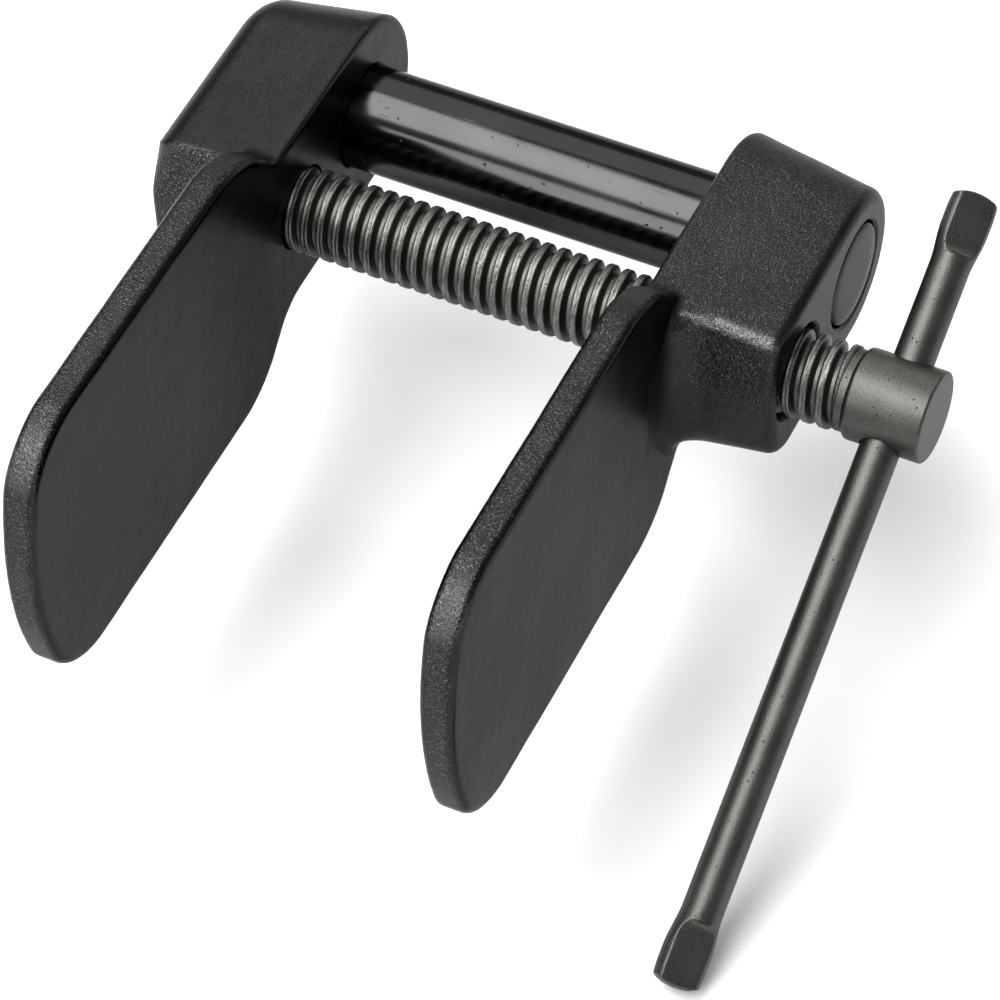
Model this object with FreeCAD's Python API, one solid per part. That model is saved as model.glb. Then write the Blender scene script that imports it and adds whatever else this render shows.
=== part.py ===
import FreeCAD, Part
import math
import os

# Screw-operated disc brake pad and piston spreader.
# X runs along the screw towards its head, Y from the blades to the bosses, Z up.
# The origin is the middle of the fixed blade's flat outer face. All sizes are in millimetres.

# Driving dimensions
GAP = 73.5                  # between the blades' inner faces as drawn
BLADE_THICK = 6.5
BLADE_HEIGHT = 63.5
BLADE_REACH = 101.0         # screw axis to the blade's nose
NOSE_RADIUS = 75.0
NOSE_CORNER = 10.5
BOSS_DEPTH = 26.0           # along X, inner face to outer face
BOSS_INNER_HALF = 19.5      # half height at the inner face
SLIDING_OUTER_HALF = 15.8   # half height at the outer face, less for the casting draft
FIXED_OUTER_HALF = 15.5
SCREW_TO_BAR = 25.7         # centre distance of the two bores
BAR_DIA = 20.0
THREAD_DIA = 16.2
THREAD_PITCH = 3.2
THREAD_DEPTH = 1.7
HEAD_DIA = 17.25
HEAD_LENGTH = 15.0
TOMMY_DIA = 7.5
TOMMY_LENGTH = 151.2
TOMMY_TILT = 28.7           # degrees below the horizontal, towards the blades
TOMMY_SHIFT = 34.8          # how far the tommy bar's middle stands from the screw axis

# Jaw castings
FRONT_INNER = 12.5          # screw axis to the boss's front face, at the inner face
FRONT_OUTER = 11.0          # the same at the outer face
FRONT_CROWN = 2.6           # how far the upper front curves back at its top
TOP_CORNER = 1.8            # rounding of the boss's upper front edge
LOW_CORNER = 8.0            # and of its lower front edge
FLARE_START = 6.5           # in front of the screw axis, where the blade starts to widen
FLARE_RUN = 13.0
FLARE_ROUND = 6.0
FOOT_INSET = 1.0            # blade's foot inside the boss's top and bottom
FOOT_OVERLAP = 4.0          # how far the foot runs into the boss behind the screw axis
WEB_RADIUS = 8.0            # hollow web between the blade and the boss's front
WEB_STEPS = 8               # sections of the web
WEB_INSET = 0.2             # web's top and bottom below the boss's
EDGE_ROUND = 1.5
SLIDING_BOSS_ROUND = 2.0    # edges of the bosses' outer faces
FIXED_BOSS_ROUND = 2.5
MOUTH_CHAMFER = 1.2

# Fits and small parts
BAR_CLEARANCE = 0.3         # radial, guide bar in the sliding jaw
THREAD_CLEARANCE = 0.2      # radial and along the axis, screw in the sliding jaw
JOURNAL_DIA = 12.0
JOURNAL_CLEARANCE = 0.15
POCKET_DIA = 16.8           # recess in the fixed jaw that takes the start of the thread
POCKET_DEPTH = 5.0
WASHER_DIA = 16.4
WASHER_THICK = 1.5
END_WASHER_THICK = 1.0
RING_THICK = 1.0
RING_BITE = 0.4             # depth of the ring's groove in the journal
REAR_POCKET_DIA = 18.0
REAR_POCKET_DEPTH = 4.0
JOURNAL_RECESS = 0.8        # journal's end below the outer face
COLLAR_LENGTH = 2.2
COLLAR_DIA = 15.4
SIDE_GAP = 0.1              # play along the axis between faces that turn on each other
HEAD_NECK_ROUND = 1.2
HEAD_END_ROUND = 1.0
TOMMY_HOLE_DIA = 8.0
BAR_CHAMFER = 0.6
JOURNAL_ROUND = 0.6
RING_WIDTH = 1.5            # radial, of the retaining ring outside its seat
RING_GAP = 2.4
LUG_ANGLE = 24.0            # degrees from the middle of the ring's gap
LUG_PLACE = 7.0             # from the screw axis to a lug's hole
LUG_DIA = 3.2
LUG_HOLE_DIA = 1.4

# Thread profile, as lengths along the axis
CREST = 1.7
FLANK_SLOPE = 0.26          # run of a flank along the axis for each millimetre of depth
RIDGE_ROOT = 0.3            # how far the ridge is sunk into the core
FIRST_CREST = 5.2           # X of the crest at its lowest point, at the start of the thread
TURNS = 34
JAW_TURNS = 10              # turns that are cut in the sliding jaw, a little more than its depth

# Swaged ends of the tommy bar
SWAGE_LENGTH = 14.0
SWAGE_WIDTH = 9.0
SWAGE_THICK = 4.4
EDGE_SHARE = 0.3            # depth of a swage's rounded edge, as a share of its thickness
FLAT_CROWN = 0.99           # a flat's edge against its slightly raised middle
SHANK_SPLIT = math.radians(35)   # where the round shank's section is divided
SWAGE_STATIONS = [          # share of the swage's length, width and thickness
    (0.0, TOMMY_DIA, TOMMY_DIA),
    (0.25, 8.0, 6.2),
    (0.5, SWAGE_WIDTH, SWAGE_THICK),
    (0.85, SWAGE_WIDTH, SWAGE_THICK),
    (1.0, SWAGE_WIDTH - 0.6, SWAGE_THICK - 0.4),
]
SWAGE_TURN = 28.7           # degrees, the flats' normal turned from upright towards the head

# Places worked out from them
SCREW_Y = 62.0              # the blade's middle lies this far in front of the screw axis
BAR_Y = SCREW_Y + SCREW_TO_BAR
FIXED_INNER = BLADE_THICK
FIXED_OUTER = FIXED_INNER - BOSS_DEPTH
SLIDING_INNER = FIXED_INNER + GAP
SLIDING_OUTER = SLIDING_INNER + BOSS_DEPTH
HEAD_START = SLIDING_OUTER + 11.5
HEAD_END = HEAD_START + HEAD_LENGTH
TOMMY_X = (HEAD_START + HEAD_END) / 2
THREAD_END = HEAD_START - COLLAR_LENGTH
POCKET_FLOOR = FIXED_INNER - POCKET_DEPTH
SHOULDER = POCKET_FLOOR + WASHER_THICK + SIDE_GAP
REAR_FLOOR = FIXED_OUTER + REAR_POCKET_DEPTH
JOURNAL_END = FIXED_OUTER + JOURNAL_RECESS
RING_START = REAR_FLOOR - END_WASHER_THICK - SIDE_GAP - RING_THICK

V = FreeCAD.Vector
ORIGIN = V(0, 0, 0)
X_AXIS = V(1, 0, 0)


def line(a, b):
    return Part.LineSegment(a, b).toShape()


def arc(a, middle, b):
    return Part.Arc(a, middle, b).toShape()


def rod(diameter, x_start, x_end, y=SCREW_Y):
    """A cylinder along X."""
    return Part.makeCylinder(diameter / 2, x_end - x_start, V(x_start, y, 0), X_AXIS)


def cone(dia_start, dia_end, x_start, x_end, y=SCREW_Y):
    return Part.makeCone(dia_start / 2, dia_end / 2, x_end - x_start, V(x_start, y, 0), X_AXIS)


def middle(edge):
    first, last = edge.ParameterRange
    return edge.valueAt((first + last) / 2)


def fillet(solid, radius, wanted):
    """Round the edges whose middle point passes the test."""
    return solid.makeFillet(radius, [e for e in solid.Edges if wanted(middle(e))]).Solids[0]


# A jaw is made with u = 0 at its inner face, u growing outwards, and y = 0 at the screw axis.

def boss_wire(u, half, front, high_round, low_round):
    """Outline of the boss at depth u: crowned front, rounded corners, round back about the bar."""
    def crowned(z):
        return V(u, FRONT_CROWN * (z / half) ** 2 - front, z)

    lean = math.atan(2 * FRONT_CROWN * (half - high_round) / half ** 2)
    front_high = crowned(half - high_round * (1 - math.sin(lean)))
    corner_y = front_high.y + high_round * math.cos(lean)
    halfway = (lean + math.pi / 2) / 2
    corner = V(u, corner_y - high_round * math.cos(halfway), half - high_round * (1 - math.sin(halfway)))
    m = low_round * (1 - math.sqrt(0.5))
    top, low = V(u, SCREW_TO_BAR, half), V(u, SCREW_TO_BAR, -half)
    top_front, low_front = V(u, corner_y, half), V(u, low_round - front, -half)
    front_mid, front_low = V(u, -front, 0), V(u, -front, low_round - half)
    return Part.Wire([
        arc(front_high, corner, top_front),
        line(top_front, top),
        arc(top, V(u, SCREW_TO_BAR + half, 0), low),
        line(low, low_front),
        arc(low_front, V(u, m - front, m - half), front_low),
        line(front_low, front_mid),
        arc(front_mid, crowned(front_high.z / 2), front_high),
    ])


def blade():
    """The flat blade: flared shoulders, rounded corners and a bowed nose."""
    half = BLADE_HEIGHT / 2
    foot = BOSS_INNER_HALF - FOOT_INSET
    shoulder = -FLARE_START - FLARE_RUN
    upper = [(FOOT_OVERLAP, foot), (-FLARE_START, foot), (shoulder, half), (-BLADE_REACH, half)]
    outline = upper + [(y, -z) for y, z in reversed(upper)]
    points = [V(0, y, z) for y, z in outline]
    plate = Part.Face(Part.makePolygon(points + points[:1])).extrude(V(BLADE_THICK, 0, 0))
    nose = Part.makeCylinder(NOSE_RADIUS, BLADE_THICK, V(0, NOSE_RADIUS - BLADE_REACH, 0), X_AXIS)
    body = Part.makeBox(BLADE_THICK, BLADE_REACH, BLADE_HEIGHT, V(0, NOSE_RADIUS / 2 - BLADE_REACH, -half))
    plate = plate.common(nose.fuse(body)).removeSplitter()
    corners = along_x(plate, -BLADE_REACH, -BLADE_REACH + NOSE_CORNER)
    plate = plate.makeFillet(NOSE_CORNER, corners)
    return plate.makeFillet(FLARE_ROUND, along_x(plate, shoulder - 1, shoulder + 1))


def along_x(solid, y_low, y_high):
    """The straight edges that run along X at a place between two y values."""
    edges = []
    for edge in solid.Edges:
        a, b = edge.Vertexes[0].Point, edge.Vertexes[-1].Point
        if abs(a.x - b.x) > 1 and abs(a.y - b.y) < 0.01 and y_low <= a.y <= y_high:
            edges.append(edge)
    return edges


def at_depth(u, inner, outer):
    """A boss size at depth u, between its values at the inner and the outer face."""
    return inner + (outer - inner) * u / BOSS_DEPTH


def web(outer_half):
    """Hollow web that joins the blade's outer face to the boss's front face."""
    wires = []
    for step in range(WEB_STEPS + 1):
        angle = math.radians(90 * step / WEB_STEPS)
        u = BLADE_THICK + WEB_RADIUS * (1 - math.cos(angle))
        reach = WEB_RADIUS * (1 - math.sin(angle))
        half = at_depth(u, BOSS_INNER_HALF, outer_half)
        front = at_depth(u, FRONT_INNER, FRONT_OUTER) + reach
        wires.append(boss_wire(u, half - WEB_INSET, front, TOP_CORNER + reach, LOW_CORNER + reach / 2))
    return Part.makeLoft(wires, True, True)


def casting(outer_half, boss_round):
    """One jaw without its bores."""
    boss = Part.makeLoft([
        boss_wire(0, BOSS_INNER_HALF, FRONT_INNER, TOP_CORNER, LOW_CORNER),
        boss_wire(BOSS_DEPTH, outer_half, FRONT_OUTER, TOP_CORNER, LOW_CORNER),
    ], True, True)
    solid = boss.fuse([blade(), web(outer_half)]).removeSplitter().Solids[0]
    solid = fillet(solid, boss_round, lambda p: abs(p.x - BOSS_DEPTH) < 0.01)
    clear_of_boss = -FLARE_START - FLARE_RUN
    solid = fillet(solid, EDGE_ROUND, lambda p: abs(p.x - BLADE_THICK) < 0.01 and (
        p.y < clear_of_boss or (p.y < -FRONT_INNER and abs(p.z) > BOSS_INNER_HALF)))
    return fillet(solid, EDGE_ROUND, lambda p: abs(p.x) < 0.01)


def ridge(start, turns, extra):
    """A right-hand helical ridge about the X axis, grown by extra on every side."""
    top = THREAD_DIA / 2 + extra
    base = THREAD_DIA / 2 - THREAD_DEPTH - RIDGE_ROOT
    half_crest = CREST / 2 + extra
    half_base = half_crest + (top - base) * FLANK_SLOPE
    profile = [(-half_base, base), (-half_crest, top), (half_crest, top), (half_base, base)]
    curves = []
    for offset, radius in profile:
        curve = Part.makeHelix(THREAD_PITCH, THREAD_PITCH, radius)
        curve.rotate(ORIGIN, V(0, 1, 0), 90)
        curve.translate(V(start + offset, 0, 0))
        curves.append(curve.Edges[0])
    strips = [Part.makeRuledSurface(a, b) for a, b in zip(curves, curves[1:] + curves[:1])]
    faces = []
    for turn in range(turns):
        for strip in strips:
            faces.append(strip.translated(V(turn * THREAD_PITCH, 0, 0)))
    for x in (start, start + turns * THREAD_PITCH):
        ends = [V(x + offset, 0, -radius) for offset, radius in profile]
        faces.append(Part.Face(Part.makePolygon(ends + ends[:1])))
    solid = Part.makeSolid(Part.makeShell(faces))
    solid.translate(V(0, SCREW_Y, 0))
    return solid


def fixed_jaw():
    body = casting(FIXED_OUTER_HALF, FIXED_BOSS_ROUND).mirror(ORIGIN, X_AXIS)
    body.translate(V(FIXED_INNER, SCREW_Y, 0))
    bores = [
        rod(BAR_DIA, FIXED_OUTER - 1, FIXED_INNER + 1, BAR_Y),
        rod(JOURNAL_DIA + 2 * JOURNAL_CLEARANCE, FIXED_OUTER - 1, FIXED_INNER + 1),
        rod(POCKET_DIA, POCKET_FLOOR, FIXED_INNER + 1),
        rod(REAR_POCKET_DIA, FIXED_OUTER - 1, REAR_FLOOR),
    ]
    return body.cut(bores)


def sliding_jaw():
    body = casting(SLIDING_OUTER_HALF, SLIDING_BOSS_ROUND)
    body.translate(V(SLIDING_INNER, SCREW_Y, 0))
    bar_bore = BAR_DIA + 2 * BAR_CLEARANCE
    tap_bore = THREAD_DIA - 2 * (THREAD_DEPTH - THREAD_CLEARANCE)
    mouth = THREAD_DIA + 2 * (THREAD_CLEARANCE + MOUTH_CHAMFER)
    depth = (mouth - tap_bore) / 2
    bores = [
        rod(bar_bore, SLIDING_INNER - 1, SLIDING_OUTER + 1, BAR_Y),
        rod(tap_bore, SLIDING_INNER - 1, SLIDING_OUTER + 1),
        cone(tap_bore, mouth, SLIDING_OUTER - depth, SLIDING_OUTER),
        cone(mouth, tap_bore, SLIDING_INNER, SLIDING_INNER + depth),
    ]
    turns_before = round((SLIDING_INNER - FIRST_CREST) / THREAD_PITCH) - 1
    tap = ridge(FIRST_CREST + turns_before * THREAD_PITCH, JAW_TURNS, THREAD_CLEARANCE)
    return body.cut(bores).cut(tap)


def guide_bar():
    bar = rod(BAR_DIA, FIXED_OUTER + JOURNAL_RECESS, SLIDING_OUTER, BAR_Y)
    return bar.makeChamfer(BAR_CHAMFER, [e for e in bar.Edges if e.Curve.TypeId == "Part::GeomCircle"])


def feed_screw():
    core = rod(THREAD_DIA - 2 * THREAD_DEPTH, SHOULDER, THREAD_END)
    collar = rod(COLLAR_DIA, THREAD_END, HEAD_START)
    journal = rod(JOURNAL_DIA, JOURNAL_END, SHOULDER)
    journal = fillet(journal, JOURNAL_ROUND, lambda p: abs(p.x - JOURNAL_END) < 0.01)
    groove = rod(JOURNAL_DIA + 1, RING_START - SIDE_GAP / 2, RING_START + RING_THICK + SIDE_GAP / 2)
    groove = groove.cut(rod(JOURNAL_DIA - 2 * RING_BITE, RING_START - 1, RING_START + RING_THICK + 1))
    head = rod(HEAD_DIA, HEAD_START, HEAD_END)
    head = fillet(head, HEAD_NECK_ROUND, lambda p: abs(p.x - HEAD_START) < 0.01)
    head = fillet(head, HEAD_END_ROUND, lambda p: abs(p.x - HEAD_END) < 0.01)
    shaft = core.fuse([collar, head, journal.cut(groove)]).cut(tommy_rod(TOMMY_HOLE_DIA, HEAD_DIA * 2))
    return shaft.fuse(ridge(FIRST_CREST, TURNS, 0.0))


def tommy_direction():
    tilt = math.radians(TOMMY_TILT)
    return V(0, -math.cos(tilt), -math.sin(tilt))


def tommy_rod(diameter, length):
    """A cylinder through the head's middle, along the tommy bar."""
    along = tommy_direction()
    return Part.makeCylinder(diameter / 2, length, V(TOMMY_X, SCREW_Y, 0) - along * (length / 2), along)


def tommy_bar():
    """Round bar with both ends pressed flat, made along Z and then swung into place."""
    half = TOMMY_LENGTH / 2
    shank = Part.makeCylinder(TOMMY_DIA / 2, TOMMY_LENGTH - 2 * SWAGE_LENGTH, V(0, 0, SWAGE_LENGTH - half))
    bar = shank
    for sign in (1, -1):
        bar = bar.fuse(swage(sign, half))
    bar = bar.removeSplitter()
    bar.rotate(ORIGIN, V(0, 0, 1), -SWAGE_TURN)
    bar.rotate(ORIGIN, X_AXIS, 90 + TOMMY_TILT)
    bar.translate(V(TOMMY_X, SCREW_Y, 0) + tommy_direction() * TOMMY_SHIFT)
    return bar


def swage(sign, half):
    """One flattened end: a round section that turns into a wide flat one."""
    start = half - SWAGE_LENGTH
    wires = []
    for share, width, thick in SWAGE_STATIONS:
        wires.append(oval(sign * (start + share * SWAGE_LENGTH), width, thick))
    return Part.makeLoft(wires, True, False)


def oval(z, width, thick):
    """Closed section at height z: two rounded edges and two flattened sides."""
    if width == thick:
        side = width / 2 * math.sin(SHANK_SPLIT)
        flat = width / 2 * math.cos(SHANK_SPLIT)
    else:
        side = width / 2 - thick * EDGE_SHARE
        flat = thick / 2 * FLAT_CROWN
    crown = thick / 2
    edge = width / 2
    return Part.Wire([
        arc(V(-side, flat, z), V(0, crown, z), V(side, flat, z)),
        arc(V(side, flat, z), V(edge, 0, z), V(side, -flat, z)),
        arc(V(side, -flat, z), V(0, -crown, z), V(-side, -flat, z)),
        arc(V(-side, -flat, z), V(-edge, 0, z), V(-side, flat, z)),
    ])


def washer(diameter, x_start, thickness):
    hole = rod(JOURNAL_DIA + 2 * JOURNAL_CLEARANCE, x_start - 1, x_start + thickness + 1)
    return rod(diameter, x_start, x_start + thickness).cut(hole)


def retaining_ring():
    """External circlip with its gap at the bottom and two lugs with holes beside it."""
    seat = JOURNAL_DIA - 2 * RING_BITE
    outer = JOURNAL_DIA + 2 * RING_WIDTH
    ring = rod(outer, RING_START, RING_START + RING_THICK)
    angle = math.radians(LUG_ANGLE)
    cuts = [rod(seat, RING_START - 1, RING_START + RING_THICK + 1)]
    cuts.append(Part.makeBox(RING_THICK, RING_GAP, outer, V(RING_START, SCREW_Y - RING_GAP / 2, -outer)))
    lugs = []
    for sign in (1, -1):
        across = sign * LUG_PLACE * math.sin(angle)
        place = V(RING_START, SCREW_Y + across, -LUG_PLACE * math.cos(angle))
        lugs.append(Part.makeCylinder(LUG_DIA / 2, RING_THICK, place, X_AXIS))
        cuts.append(Part.makeCylinder(LUG_HOLE_DIA / 2, RING_THICK, place, X_AXIS))
    return ring.fuse(lugs).cut(cuts)


NODES = {
    "fixed_jaw": fixed_jaw,
    "sliding_jaw": sliding_jaw,
    "guide_bar": guide_bar,
    "feed_screw": feed_screw,
    "tommy_bar": tommy_bar,
    "thrust_washer": lambda: washer(WASHER_DIA, POCKET_FLOOR, WASHER_THICK),
    "end_washer": lambda: washer(WASHER_DIA, REAR_FLOOR - END_WASHER_THICK, END_WASHER_THICK),
    "retaining_ring": retaining_ring,
}

os.makedirs("parts", exist_ok=True)
for name, make in NODES.items():
    shape = make().Solids[0]
    print(name, shape.isValid(), round(shape.Volume))
    shape.exportStep("parts/" + name + ".step")
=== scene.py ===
"""Looks of a screw-operated disc brake pad spreader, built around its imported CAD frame.

Shapes are worked out in millimetres, which mesh_object turns into metres. Bump distances, the
camera and the lights are in metres. X runs along the screw towards its head, Y from the blades to
the bosses, Z up.
"""

import itertools
import math

import bpy
import numpy as np
from mathutils import Matrix, Vector


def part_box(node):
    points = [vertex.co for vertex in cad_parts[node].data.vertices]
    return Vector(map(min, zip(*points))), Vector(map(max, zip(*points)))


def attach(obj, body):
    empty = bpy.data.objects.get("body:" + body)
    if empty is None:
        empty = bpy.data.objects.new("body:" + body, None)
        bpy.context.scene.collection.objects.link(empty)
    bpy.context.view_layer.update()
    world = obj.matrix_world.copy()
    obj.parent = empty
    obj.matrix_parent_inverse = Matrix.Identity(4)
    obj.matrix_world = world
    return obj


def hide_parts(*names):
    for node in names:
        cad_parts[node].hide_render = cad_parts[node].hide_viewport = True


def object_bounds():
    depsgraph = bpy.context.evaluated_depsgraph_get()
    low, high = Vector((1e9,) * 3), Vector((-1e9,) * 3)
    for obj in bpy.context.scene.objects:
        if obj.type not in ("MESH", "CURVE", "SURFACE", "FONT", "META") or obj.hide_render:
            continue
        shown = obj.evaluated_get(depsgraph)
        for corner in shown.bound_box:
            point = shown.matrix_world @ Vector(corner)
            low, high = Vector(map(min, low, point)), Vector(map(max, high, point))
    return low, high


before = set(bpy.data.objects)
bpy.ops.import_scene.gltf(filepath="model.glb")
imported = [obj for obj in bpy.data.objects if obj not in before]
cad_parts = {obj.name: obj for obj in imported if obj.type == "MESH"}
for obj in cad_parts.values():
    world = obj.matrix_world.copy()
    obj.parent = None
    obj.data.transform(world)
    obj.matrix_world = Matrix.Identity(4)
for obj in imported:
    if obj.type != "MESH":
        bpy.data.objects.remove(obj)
cad_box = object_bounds()

MM = 0.001


def node_box(node):
    """Lowest and highest corner of a CAD node in millimetres."""
    low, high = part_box(node)
    return np.array(low) / MM, np.array(high) / MM


FIXED_LOW, FIXED_HIGH = node_box("fixed_jaw")
SLIDING_LOW, SLIDING_HIGH = node_box("sliding_jaw")
SCREW_LOW, SCREW_HIGH = node_box("feed_screw")
BAR_LOW, BAR_HIGH = node_box("guide_bar")

# Jaw castings: u is the depth from the inner face, y is measured from the screw's axis
SCREW_TO_BAR = 25.7
BAR_Y = (BAR_LOW[1] + BAR_HIGH[1]) / 2
SCREW_Y = BAR_Y - SCREW_TO_BAR
BOSS_DEPTH = 26.0
BOSS_INNER_HALF = 19.5
BOSS_OUTER_HALF = {"fixed_jaw": 15.6, "sliding_jaw": 15.8}
FRONT_INNER = 12.5
FRONT_OUTER = 11.0
FRONT_CROWN = 2.6           # how far the upper front curves back at its top
TOP_CORNER = {"fixed_jaw": 0.9, "sliding_jaw": 2.4}
OUTER_ROUND_HEIGHTS = (2.0, 13.0)   # heights between which the outer face's round grows
LOW_CORNER = 8.0
BLADE_THICK = 6.5
BLADE_HALF = 31.75
BLADE_REACH = 101.0
NOSE_RADIUS = 75.0
NOSE_CORNER = 10.5
FLARE_START = 6.5
FLARE_RUN = 13.0
FLARE_ROUND = 6.0
FOOT_HALF = 18.5
EDGE_ROUND = 1.5
WEB_RADIUS = 8.0
WEB_INSET = 0.02
ROOT_ROUND = (2.2, 1.0)     # hollow corner between blade and boss, at the bottom and at the top
ROOT_HEIGHTS = (-12.0, 4.0)         # heights between which it changes from one to the other
BOSS_ROUND = {"fixed_jaw": (1.8, 5.5), "sliding_jaw": (2.0, 2.0)}   # outer face, low and high
# Wavelengths and heights of the cast skin's unevenness
WAVES = ((26.0, 0.02), (14.0, 0.012), (8.0, 0.006), (4.5, 0.004))
NET_STEP = 0.6
NET_MARGIN = 1.5
SLOPE_STEP = 0.05           # for moving points onto the surface
CURVE_STEP = 0.5            # for measuring how sharply it bends
MACHINED_DEPTH = 0.08       # a point further inside the raw casting than this was cut

# Grain of the castings, and their painted highlights and painted shade
TOP_SMOOTHNESS = {"fixed_jaw": 0.8, "sliding_jaw": 0.0}
FRONT_ROUGHNESS = {"fixed_jaw": 1.6, "sliding_jaw": 0.2}
LOW_FRONT_SMOOTHNESS = 0.75
COARSE_HEIGHTS = (-6.0, 10.0)       # heights between which a boss's front turns coarse
HIGHLIGHT_BEND = (0.15, 0.35)  # how sharply an edge must bend to get its painted highlight
EDGE_HIGHLIGHT = {"fixed_jaw": 0.0, "sliding_jaw": 1.0}        # painted highlight on the boss's upper front edge
NOSE_HIGHLIGHT = 0.32             # painted highlight on the blade's upper nose corner
EDGE_GAIN = 1.6             # how strongly a bend counts as an edge
PAINTED_LIGHT_RUN = (24.0, 48.0)      # distances in front of the screw over which the wide faces grow paler, as painted light
PAINTED_SHADE_RUN = (14.0, 40.0)        # and over which their painted shade next to the boss fades

# Screw
PITCH = 3.2
FIRST_CREST = 5.2
THREAD_DIA = 16.2
THREAD_DEPTH = 1.7
TURNS = 34
HEAD_LENGTH = 15.0
HEAD_DIA = 17.25
COLLAR_DIA = 15.4
COLLAR_LENGTH = 2.2
JOURNAL_DIA = 12.0
JOURNAL_ROUND = 0.6
COLLAR_ROUND = 0.4
COLLAR_NECK = 0.3           # depth of the fine neck between collar and head
NECK_START, NECK_FLOOR = 0.22, 0.12     # distances before the head
HEAD_ROUND = (0.9, 0.55)    # at the collar and at the free end
HEAD_STEPS = 8
HEAD_END = SCREW_HIGH[0]
HEAD_START = HEAD_END - HEAD_LENGTH
THREAD_END = HEAD_START - COLLAR_LENGTH
SHOULDER = 3.1              # where the thread starts and the journal ends
JOURNAL_START = SCREW_LOW[0]
RING_SEAT = 5.6             # radius of the retaining ring's groove
RING_START = -17.6
RING_WIDTH = 1.1
RING_PLAY = 0.05

# Guide bar
BAR_DIA = 20.0
BAR_ROUND = (0.6, 0.8)      # in the fixed jaw and in the sliding jaw
BAR_ROWS = 40
BAR_SEGMENTS = 192
BAR_MARGIN = 1.5            # from a bar's end to its first row
CAP_INSET = 3.0             # rings that divide a flat round end
CAP_RING = 0.5

# Tommy bar
TOMMY_DIA = 7.5
TOMMY_LENGTH = 151.2
TOMMY_HOLE = 8.0
TOMMY_TILT = math.radians(28.7)     # below the horizontal
TOMMY_SHIFT = 34.8          # its middle's distance from the screw's axis
SWAGE_TURN = math.radians(28.7)     # of the pressed flats about the bar
SWAGE_LENGTH = 14.5
SWAGE_WIDTH = 9.0
SWAGE_THICK = 4.4
SWAGE_SOFT = 0.12           # softness of the edge between a pressed flat and the round side
# Shares of a pressed end's length over which it changes
SWAGE_WIDENS = (0.0, 0.55)
SWAGE_NARROWS = (0.7, 1.0)
SWAGE_NARROWING = 0.15
SWAGE_THINS = (0.2, 0.6)
SWAGE_THINNING = 0.35
SWAGE_BULGES = (0.75, 1.0)
PRESS_START, PRESS_RUN = 0.16, 0.22
SHANK_ROWS = 60
SWAGE_ROWS = 64
TOMMY_SEGMENTS = 144
END_BULGE = 0.9             # how far the middle of a pressed end stands out
END_CORNER = 0.7
END_RINGS = (0.75, 0.45, 0.2)

# Bores of the jaws
POCKET_DIA = 16.6
POCKET_DEPTH = 5.0
REAR_DIA = 18.0
REAR_DEPTH = 4.0
MOUTH = 0.5                 # chamfer of a bore's mouth
OVERRUN = 2.0               # how far a cutter runs out of the metal
TAP_MOUTH = 2.9
TAP_TURNS = 14
# Recess at the tapped hole's outer end: offset from the outer face, radius
TAP_RECESS = [(-3.8, 6.5), (-2.6, 9.0), (-0.4, 9.4), (OVERRUN, 11.8)]
PRESS_GAP = 0.01
BAR_GAP = 0.45
JOURNAL_GAP = 0.15
THREAD_GAP = 0.2

# One pitch of the thread from root to root: offset along the axis, height above the root
THREAD_PROFILE = [
    (-1.60, 0.00), (-1.30, 0.02), (-1.14, 0.14), (-0.78, 1.38), (-0.69, 1.57), (-0.48, 1.69),
    (-0.22, 1.70), (-0.07, 1.64), (0.08, 1.63), (0.24, 1.69), (0.48, 1.70), (0.69, 1.57),
    (0.78, 1.38), (1.14, 0.14), (1.30, 0.02),
]
THREAD_FADE = 0.5           # turns over which the thread grows and runs out
THREAD_CLEARANCE = 0.03     # left between a grown thread's rows and the next turn
THREAD_OVERLAP = 0.5        # how far it runs into the collar
SCREW_SEGMENTS = 96

# Angles in degrees past which an edge is shaded sharp
JAW_SHARP = 35.0
SCREW_SHARP = 32.0
TOMMY_SHARP = 40.0
BAR_SHARP = 32.0

# Finishes: tones are shares of the light sent back, depths of relief are in metres
EDGE_ON_TINT = 0.6          # reflection of the dark finishes seen edge-on, against a bare metal's
PAINT_DARK, PAINT_LIGHT = 0.023, 0.030
# Paler paint on the wide faces towards the blades' noses is painted light
PAINT_LIT_FACE = 0.034
# Darker paint on the wide faces next to the boss is painted shade
PAINT_SHADE_BY_BOSS = 0.012
# Darker paint on the blades' convex edges is painted shade
PAINT_EDGE_SHADE = 0.013
PAINT_PIT = 0.010
# Darker paint in the hollows is painted shade
PAINT_HOLLOW_SHADE = 0.018
PAINT_GLINT = 0.21
# Paler paint on edges that face the top light is a painted highlight
PAINT_HIGHLIGHT = 0.13
DUST = 0.30
GRAIN_DEPTH = 0.00030
WAVINESS_DEPTH = 0.00012
# The near-black tone of the machined bores is painted shade
BORE_SHADE_DARK, BORE_SHADE_LIGHT = 0.02, 0.05
BORE_DEPTH = 0.00008
GLOSS_DARK, GLOSS_LIGHT = 0.034, 0.040
GLOSS_DEPTH = 0.00003
OLIVE = (1.0, 0.99, 0.93)
STEEL_DARK, STEEL_LIGHT = 0.062, 0.082
STEEL_FLECK = 0.115
# Paler steel in the thread's grooves is painted light
STEEL_GROOVE_LIT = 0.095
STEEL_RUBBED = 0.26
STEEL_PIT = 0.02
STEEL_EDGE_ON = 0.7
STEEL_DEPTH = 0.00006
FINE_DEPTH = 0.00002        # of the ring and the washers

# Stage: camera and lights, in metres, but lens and sensor in millimetres
AIM = Vector((0.06609, 0.02121, -0.01037))
DISTANCE = 0.8975
VIEW_RIGHT = Vector((0.90112, 0.43229, -0.03315))
VIEW_UP = Vector((-0.31382, 0.70309, 0.63811))
LENS = 181.584
SENSOR = 36.0
CLIP_START = 0.05
CLIP_END = 20.0
FLOOR_HALF = 6.0
FLOOR_GAP = 0.0005
FLOOR_TONE = 0.90
STUDIO_STRENGTH = 0.33
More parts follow.
